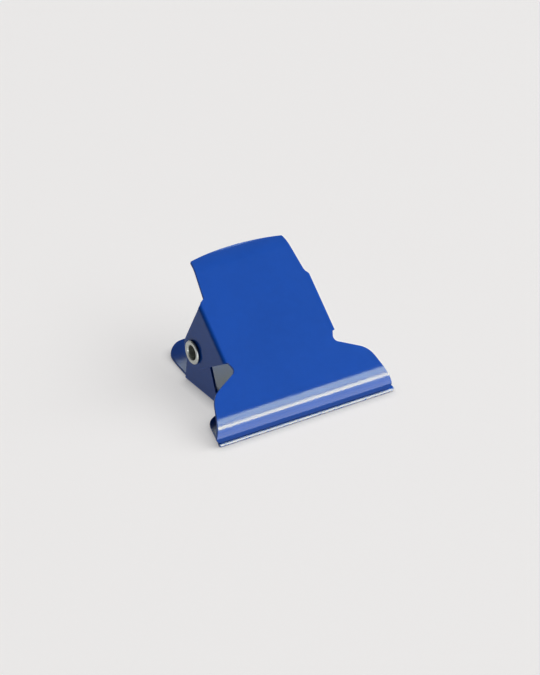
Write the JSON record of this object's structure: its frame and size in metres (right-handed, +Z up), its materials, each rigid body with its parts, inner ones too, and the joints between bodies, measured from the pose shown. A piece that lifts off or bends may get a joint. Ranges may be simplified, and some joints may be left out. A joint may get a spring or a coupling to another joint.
{
  "type": "metal spring clip",
  "caption": "Wide-jaw steel spring clip for paper: enamelled plates hinged on a hollow rivet and shut by a torsion spring.",
  "frame": {"origin": "centre of the bounding box at the table", "axes": "+X along the jaws, to the right as seen from the jaw end; -Y out of the jaws; +Y to the handles; +Z up from the table"},
  "size_m": [0.0406, 0.0358, 0.0254],
  "materials": {
    "enamel": "smooth high-gloss blue enamel on pressed sheet steel",
    "zinc_plate": "bright zinc plate, smooth",
    "spring_steel": "drawn spring wire, satin"
  },
  "bodies": {
    "lower": {"lower_plate": "enamel", "hollow_rivet": "zinc_plate", "torsion_spring": "spring_steel"},
    "upper": {"upper_plate": "enamel"}
  },
  "joints": [
    {"name": "jaw_hinge", "type": "hinge", "parent": "lower", "child": "upper", "pos_m": [-0.00002, 0.00216, 0.00893], "axis": [-1, 0, 0], "range_deg": [0, 38], "stiffness_Nm_per_rad": 0.02, "springref_deg": -45.84, "deforming": ["torsion_spring"]}
  ]
}
